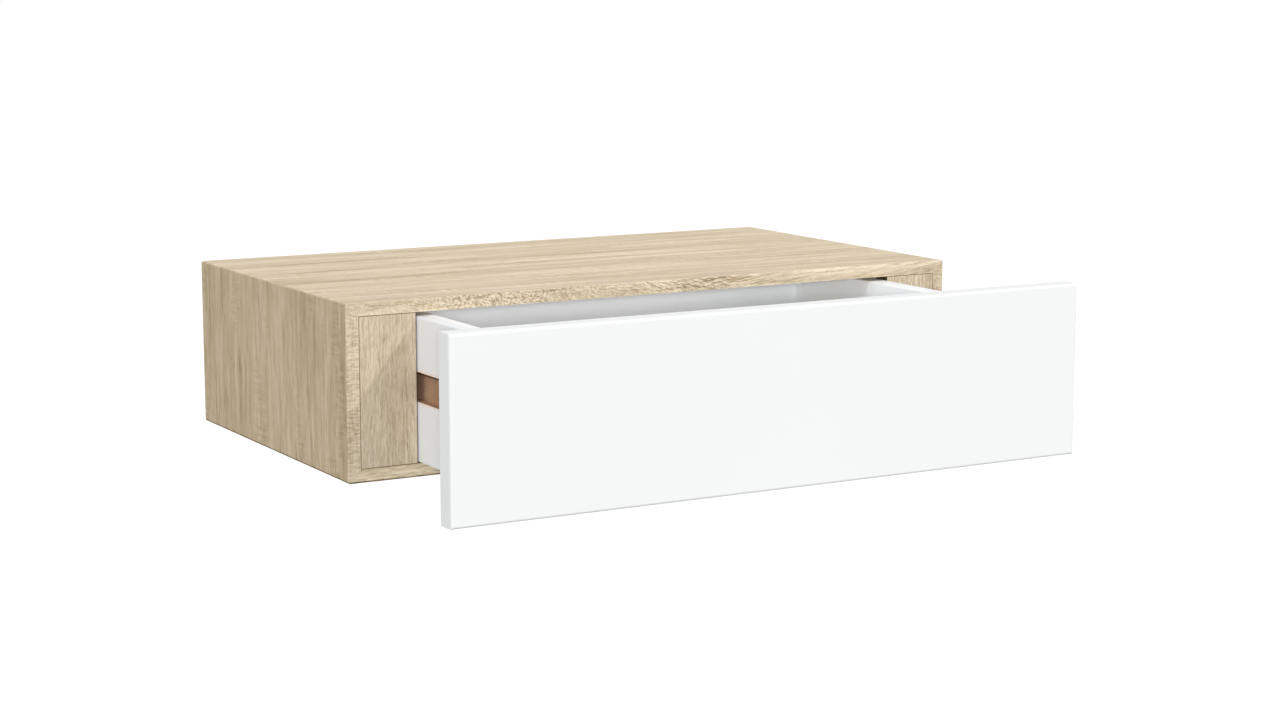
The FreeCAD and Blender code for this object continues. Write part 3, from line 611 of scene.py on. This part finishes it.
# Pine, hardboard, nylon and metals, each with its dark and its light tone
PINE_TONES = ((0.40, 0.255, 0.135), (0.62, 0.45, 0.27))
HARDBOARD_BROWNS = ((0.165, 0.098, 0.055), (0.285, 0.180, 0.105))
NYLON_TONES = ((0.74, 0.73, 0.68), (0.80, 0.79, 0.75))
STEEL_BLACKS = ((0.018, 0.018, 0.020), (0.034, 0.034, 0.036))
ZINC_GREYS = ((0.40, 0.41, 0.43), (0.53, 0.54, 0.56))

# How deep the relief of each of them is
PINE_RELIEF = 0.1 * MM
HARDBOARD_RELIEF = 0.05 * MM
PAINTED_RELIEF = 0.02 * MM
NYLON_RELIEF = 0.02 * MM
STEEL_RELIEF = 0.08 * MM
ZINC_RELIEF = 0.02 * MM

# How much light goes into the nylon, and how far for red, green and blue
NYLON_DEPTH_SHARE = 0.1
NYLON_DEPTHS = (2 * MM, 2 * MM, 1.5 * MM)


def sawn_pine(nodes):
    """Sawn pine of the blocks, tongues and dowels."""
    finish = Finish("raw_board")
    place = finish.place(offset=(0.3, 0.1, 0.2), turn=(0, 0, 90))
    rings = finish.noise(place, (4, 160, 160), detail=3)
    saw = finish.noise(place, (900, 60, 60), detail=1)
    colour = finish.tint(rings, PINE_TONES, 0.35, 0.62)
    colour = finish.shaded(colour, finish.total(finish.swing(saw, 0.25), 1.0))
    finish.surface(colour, finish.roughness(rings, 0.7, 0.85))
    finish.bump(saw, PINE_RELIEF)
    finish.give_to(*nodes)


def hardboard_fibres(finish, place):
    return finish.noise(place, 420, detail=4, roughness=0.7, distortion=0.6)


def hardboard(node):
    """Thin brown hardboard, with pressed fibres."""
    finish = Finish(f"hardboard_{node}")
    place = finish.place()
    fibres = hardboard_fibres(finish, place)
    clouds = finish.noise(place, 12)
    colour = finish.tint(finish.total(fibres, finish.swing(clouds, 0.35)), HARDBOARD_BROWNS)
    finish.surface(colour, finish.roughness(fibres, 0.5, 0.7))
    finish.bump(fibres, HARDBOARD_RELIEF)
    finish.give_to(node)


def drawer_floor(node):
    """Thin hardboard, painted white on top and brown underneath."""
    finish = Finish("drawer_floor")
    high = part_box(node)[1]
    place = finish.place()
    fibres = hardboard_fibres(finish, place)
    white = finish.tint(finish.noise(place, FOIL_CLOUDS), DRAWER_FLOOR_PAINTED_LIGHT_WHITES)
    brown = finish.tint(fibres, HARDBOARD_BROWNS)
    z = finish.axes()[2]
    top = finish.maths("GREATER_THAN", z, high.z - FACE_SKIN)
    finish.surface(finish.mixed(top, brown, white), finish.roughness(fibres, 0.42, 0.6))
    finish.bump(fibres, PAINTED_RELIEF)
    finish.give_to(node)


def runner_nylon(nodes):
    """Off-white nylon, faintly streaked, with a roughness that changes along the streaks."""
    finish = Finish("runner_nylon")
    streaks = finish.noise(finish.place(), (300, 6, 300))
    finish.surface(finish.tint(streaks, NYLON_TONES), finish.roughness(streaks, 0.28, 0.45))
    finish.shader.inputs["Subsurface Weight"].default_value = NYLON_DEPTH_SHARE
    finish.shader.inputs["Subsurface Radius"].default_value = NYLON_DEPTHS
    finish.bump(streaks, NYLON_RELIEF)
    finish.give_to(*nodes)


def black_steel(nodes):
    """Black powder coat with its orange peel."""
    finish = Finish("black_steel")
    place = finish.place()
    peel = finish.noise(place, 650)
    dust = finish.noise(place, 40, detail=3)
    finish.surface(finish.tint(dust, STEEL_BLACKS, 0.35, 0.75), finish.roughness(dust, 0.40, 0.55))
    finish.bump(peel, STEEL_RELIEF)
    finish.give_to(*nodes)
    return finish


def zinc(nodes):
    """Bright zinc plate with a slight cloudiness."""
    finish = Finish("zinc")
    clouds = finish.noise(finish.place(), 260, detail=3)
    finish.surface(finish.tint(clouds, ZINC_GREYS), finish.roughness(clouds, 0.26, 0.44))
    finish.shader.inputs["Metallic"].default_value = 1.0
    finish.bump(clouds, ZINC_RELIEF)
    finish.give_to(*nodes)
    return finish


def deselect():
    bpy.ops.object.select_all(action="DESELECT")


def select_only(*pieces):
    """Selects these pieces alone, with the first one active."""
    deselect()
    for piece in pieces:
        piece.select_set(True)
    bpy.context.view_layer.objects.active = pieces[0]


def apply_place():
    """Puts the active piece's place, turn and size into its mesh."""
    bpy.ops.object.transform_apply(location=True, rotation=True, scale=True)


def apply_modifier(piece, modifier):
    select_only(piece)
    bpy.ops.object.modifier_apply(modifier=modifier.name)


def delete(piece):
    select_only(piece)
    bpy.ops.object.delete()


# How finely the small turned pieces and their threads are made
LATHE_SIDES = 40
THREAD_STEPS = 24
SMOOTH_ANGLE = 32


def turned(name, rings):
    """A turned piece: a disc drawn up and scaled from ring to ring, as on a lathe."""
    deselect()
    radius, height = rings[0]
    bpy.ops.mesh.primitive_circle_add(
        vertices=LATHE_SIDES, radius=radius, fill_type="NGON", location=(0, 0, height)
    )
    piece = bpy.context.object
    piece.name = name
    apply_place()
    bpy.ops.object.mode_set(mode="EDIT")
    bpy.ops.mesh.select_all(action="SELECT")
    for next_radius, next_height in rings[1:]:
        rise = (0, 0, next_height - height)
        bpy.ops.mesh.extrude_region_move(TRANSFORM_OT_translate={"value": rise})
        change = next_radius / radius
        bpy.ops.transform.resize(value=(change, change, 1), center_override=(0, 0, next_height))
        radius, height = next_radius, next_height
    bpy.ops.mesh.select_all(action="SELECT")
    bpy.ops.mesh.normals_make_consistent(inside=False)
    bpy.ops.object.mode_set(mode="OBJECT")
    return piece


def thread(root, crest, pitch, start, end):
    """A helical ridge along Z, from a small triangle swept by the screw modifier."""
    deselect()
    depth = crest - root
    bpy.ops.mesh.primitive_circle_add(
        vertices=3,
        radius=depth,
        location=(crest - depth, 0, start),
        rotation=(math.radians(90), math.radians(90), 0),
    )
    ridge = bpy.context.object
    apply_place()
    bpy.ops.object.mode_set(mode="EDIT")
    bpy.ops.mesh.select_all(action="SELECT")
    bpy.ops.transform.resize(value=(1, 1, pitch / depth / 3), center_override=(0, 0, start))
    bpy.ops.object.mode_set(mode="OBJECT")
    sweep = ridge.modifiers.new("sweep", "SCREW")
    sweep.axis = "Z"
    sweep.screw_offset = pitch
    sweep.iterations = int((end - start) / pitch)
    sweep.steps = THREAD_STEPS
    sweep.render_steps = THREAD_STEPS
    sweep.use_smooth_shade = False
    apply_modifier(ridge, sweep)
    bpy.ops.object.mode_set(mode="EDIT")
    bpy.ops.mesh.select_mode(type="VERT")
    bpy.ops.mesh.select_all(action="DESELECT")
    bpy.ops.mesh.select_non_manifold()
    bpy.ops.mesh.fill_holes(sides=3)
    bpy.ops.mesh.select_all(action="SELECT")
    bpy.ops.mesh.normals_make_consistent(inside=False)
    bpy.ops.object.mode_set(mode="OBJECT")
    return ridge


def cross_recess(piece, length, width, depth, taper):
    """Cuts a tapered cross into the face at the top of a screw."""
    for turn in (0, 90):
        deselect()
        bpy.ops.mesh.primitive_cube_add(size=1, location=(0, 0, 0))
        cutter = bpy.context.object
        cutter.scale = (length, width, 2 * depth)
        cutter.rotation_euler.z = math.radians(turn)
        apply_place()
        bpy.ops.object.mode_set(mode="EDIT")
        bpy.ops.mesh.select_mode(type="FACE")
        bpy.ops.mesh.select_all(action="DESELECT")
        bpy.ops.object.mode_set(mode="OBJECT")
        for side in cutter.data.polygons:
            side.select = side.normal.z < -0.5
        bpy.ops.object.mode_set(mode="EDIT")
        bpy.ops.transform.resize(value=(taper, taper, 1), center_override=(0, 0, -depth))
        bpy.ops.object.mode_set(mode="OBJECT")
        cut = piece.modifiers.new("cut", "BOOLEAN")
        cut.operation = "DIFFERENCE"
        cut.object = cutter
        apply_modifier(piece, cut)
        delete(cutter)


def joined(*pieces):
    select_only(*pieces)
    bpy.ops.object.join()
    bpy.ops.object.shade_smooth_by_angle(angle=math.radians(SMOOTH_ANGLE))
    return pieces[0]


def copies(master, node, body, finish, places):
    """Sets a copy of the master at each place, turned to face its way, in place of the CAD node."""
    for number, (place, facing) in enumerate(places, 1):
        select_only(master)
        bpy.ops.object.duplicate(linked=False)
        piece = bpy.context.object
        piece.name = f"{node}_{number}"
        piece.data.name = piece.name
        piece.rotation_euler = Vector(facing).to_track_quat("Z", "Y").to_euler()
        piece.location = place
        apply_place()
        piece.data.materials.append(finish.material)
        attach(piece, body)
        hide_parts(node)
    delete(master)


# Wood screws
SCREW_PITCH = 1.35 * MM
RECESS_DEPTH = 1.3 * MM
RECESS_TAPER = 0.45
RUNNER_SCREW_RADIUS = 1.6 * MM
RUNNER_SCREW_HEAD_RADIUS = 2.9 * MM
RUNNER_SCREW_LENGTH = 13.0 * MM
BACK_SCREW_RADIUS = 1.75 * MM
BACK_SCREW_HEAD_RADIUS = 3.4 * MM
BACK_SCREW_LENGTH = 29.9 * MM


def wood_screw(radius, head_radius, length):
    """Countersunk wood screw with its head face at zero, its point down Z, a thread and a cross recess."""
    root = 0.68 * radius
    cone = head_radius - radius
    rim = 0.08 * head_radius
    neck = cone + 2.2 * MM
    point = length - 1.6 * radius
    shank = turned(
        "screw",
        [
            (0.12 * radius, -length),
            (0.45 * root, -length + 0.5 * radius),
            (root, -point),
            (root, -neck - 0.3 * MM),
            (0.86 * radius, -neck),
            (0.86 * radius, -cone - 0.2 * MM),
            (radius, -cone),
            (head_radius, -rim),
            (head_radius, -0.2 * rim),
            (head_radius - rim, 0),
        ],
    )
    cross_recess(shank, 1.15 * head_radius, 0.24 * head_radius, RECESS_DEPTH, RECESS_TAPER)
    ridge = thread(root, radius, SCREW_PITCH, -point, -neck - 0.6 * MM)
    return joined(shank, ridge)


def runner_screws(finish):
    low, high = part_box("runner_screws")
    face = high.x - RUNNER_SCREW_LENGTH
    places = []
    for y in (low.y + RUNNER_SCREW_HEAD_RADIUS, high.y - RUNNER_SCREW_HEAD_RADIUS):
        for side in (-1, 1):
            places.append(((side * face, y, (low.z + high.z) / 2), (-side, 0, 0)))
    master = wood_screw(RUNNER_SCREW_RADIUS, RUNNER_SCREW_HEAD_RADIUS, RUNNER_SCREW_LENGTH)
    copies(master, "runner_screws", "case", finish, places)


def back_screws(finish):
    low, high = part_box("back_screws")
    middle = (low + high) / 2
    places = [((side * high.x, middle.y, middle.z), (side, 0, 0)) for side in (-1, 1)]
    master = wood_screw(BACK_SCREW_RADIUS, BACK_SCREW_HEAD_RADIUS, BACK_SCREW_LENGTH)
    copies(master, "back_screws", "drawer", finish, places)


# Cam bolts
BOLT_THREAD_RADIUS = 2.5 * MM
BOLT_THREAD_LENGTH = 8.0 * MM
BOLT_PITCH = 1.8 * MM
BOLT_SHAFT_RADIUS = 3.0 * MM
BOLT_NECK_RADIUS = 1.4 * MM
BOLT_HEAD_RADIUS = 2.4 * MM
BOLT_HEAD_LENGTH = 1.7 * MM
BOLT_NECK_LENGTH = 2.95 * MM
BOLT_EASE = 0.4 * MM


def cam_bolts(finish):
    """Bolts with a coarse thread, a collar, a grooved shaft and a domed head."""
    low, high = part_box("cam_bolts")
    top = high.y - low.y
    seat = BOLT_THREAD_LENGTH
    neck_top = top - BOLT_HEAD_LENGTH
    neck_foot = neck_top - BOLT_NECK_LENGTH
    root = 0.72 * BOLT_THREAD_RADIUS
    shaft = 0.86 * BOLT_SHAFT_RADIUS
    ease = BOLT_EASE
    bolt = turned(
        "bolt",
        [
            (0.5 * root, 0),
            (root, 3 * ease),
            (root, seat - ease),
            (BOLT_SHAFT_RADIUS, seat),
            (BOLT_SHAFT_RADIUS, seat + 3 * ease),
            (shaft, seat + 4 * ease),
            (shaft, neck_foot - 6 * ease),
            (0.9 * shaft, neck_foot - 5 * ease),
            (0.9 * shaft, neck_foot - 3 * ease),
            (shaft, neck_foot - 2 * ease),
            (shaft, neck_foot - ease),
            (BOLT_NECK_RADIUS, neck_foot),
            (BOLT_NECK_RADIUS, neck_top),
            (BOLT_HEAD_RADIUS, neck_top + ease),
            (0.95 * BOLT_HEAD_RADIUS, top - 2 * ease),
            (0.66 * BOLT_HEAD_RADIUS, top - 0.4 * ease),
            (0.2 * BOLT_HEAD_RADIUS, top),
        ],
    )
    ridge = thread(root, BOLT_THREAD_RADIUS, BOLT_PITCH, 3 * ease, seat - ease)
    x = high.x - BOLT_SHAFT_RADIUS
    z = (low.z + high.z) / 2
    places = [((side * x, low.y, z), (0, 1, 0)) for side in (-1, 1)]
    copies(joined(bolt, ridge), "cam_bolts", "drawer", finish, places)


# Weld beads. A ripple is four segments of the bead, and the first of them is drawn in
PRONG_RADIUS = 6.0 * MM
BEAD_RADIUS = 1.1 * MM
BEAD_SIDES = 12
BEAD_RIPPLES = 22
RIPPLE_SEGMENTS = 4
RIPPLE_WAIST = (0.96, 0.72, 0.96)


def weld_beads(finish):
    """A rippled weld bead round each prong, where it meets the wall bar."""
    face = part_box("wall_bar")[0].y
    segments = RIPPLE_SEGMENTS * BEAD_RIPPLES
    for name in ("left_prong", "right_prong"):
        low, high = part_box(name)
        centre = ((low.x + high.x) / 2, face, (low.z + high.z) / 2)
        deselect()
        bpy.ops.mesh.primitive_torus_add(
            major_segments=segments,
            minor_segments=BEAD_SIDES,
            major_radius=PRONG_RADIUS + 0.3 * BEAD_RADIUS,
            minor_radius=BEAD_RADIUS,
            location=centre,
            rotation=(math.radians(90), 0, 0),
        )
        bead = bpy.context.object
        bead.name = f"{name}_weld_bead"
        apply_place()
        bpy.ops.object.mode_set(mode="EDIT")
        bpy.ops.mesh.select_mode(type="VERT")
        bpy.ops.mesh.select_all(action="DESELECT")
        bpy.ops.object.mode_set(mode="OBJECT")
        for point in bead.data.vertices:
            turn = math.atan2(point.co.z - centre[2], point.co.x - centre[0]) / math.tau
            point.select = round(turn * segments) % RIPPLE_SEGMENTS == 0
        bpy.ops.object.mode_set(mode="EDIT")
        bpy.ops.transform.resize(value=RIPPLE_WAIST, center_override=centre)
        bpy.ops.object.mode_set(mode="OBJECT")
        bpy.ops.object.shade_smooth()
        bead.data.materials.append(finish.material)
        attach(bead, "case")


# The floor
FLOOR_WIDTH = 120
FLOOR_HEIGHT = -2.3
FLOOR_GREY = (0.28, 0.28, 0.28)
FLOOR_GLOW = 0.04


def floor():
    """Pale floor, well below the shelf, which hangs on a wall. The camera sees it white."""
    deselect()
    bpy.ops.mesh.primitive_plane_add(size=FLOOR_WIDTH, location=(0, 0, FLOOR_HEIGHT))
    ground = bpy.context.object
    ground.name = "floor"
    finish = Finish("floor")
    seen = seen_directly(finish.tree)
    finish.surface(finish.mixed(seen, FLOOR_GREY, WHITE), 1.0)
    finish.shader.inputs["Emission Color"].default_value = (*WHITE, 1)
    finish.feed(finish.shader.inputs["Emission Strength"], finish.maths("MULTIPLY", seen, FLOOR_GLOW))
    finish.shader.inputs["Specular IOR Level"].default_value = 0.0
    ground.data.materials.append(finish.material)


bpy.context.scene.view_settings.view_transform = "Standard"
camera()
studio_world(ambient=0.70)
sun("key", towards=(0.50, -0.62, 0.62), strength=0.335, softness=3)
sun("left_key", towards=(-0.80, -0.25, 0.50), strength=0.16, softness=3)
sun("front_fill", towards=(-0.42, -0.89, 0.14), strength=0.42, softness=4)
floor()

oak_foil("top_panel", ALONG_X, 1, top_edge_marks, **TOP_PRINT)
oak_foil("bottom_panel", ALONG_X, 2, foot_edge_marks, **FOOT_PRINT)
oak_foil("left_side_panel", ALONG_Z, 3, side_edge_marks, **SIDE_PRINT)
oak_foil("right_side_panel", ALONG_Z, 4, side_edge_marks, **SIDE_PRINT)
front_stile("left_front_stile", 5)
front_stile("right_front_stile", 6)
oak_foil("left_inner_side", ALONG_X, 7, foot_edge_marks, **FOOT_PRINT)
oak_foil("right_inner_side", ALONG_X, 8, foot_edge_marks, **FOOT_PRINT)
white_foil("drawer_front", DRAWER_FRONT_PAINTED_SHADE_WHITES, 0.4)
white_foil("drawer_back", DRAWER_BACK_PAINTED_SHADE_WHITES, 0.9)
drawer_side("drawer_left_side")
drawer_side("drawer_right_side")
drawer_floor("drawer_bottom")
hardboard("back_panel")
sawn_pine(["left_prong_block", "right_prong_block", "stile_tongues", "front_dowels"])
runner_nylon(["left_runner", "right_runner"])
powder_coat = black_steel(["wall_bar", "left_prong", "right_prong"])
bright_zinc = zinc(["lock_screws", "cam_nuts"])
runner_screws(bright_zinc)
back_screws(bright_zinc)
cam_bolts(bright_zinc)
weld_beads(powder_coat)
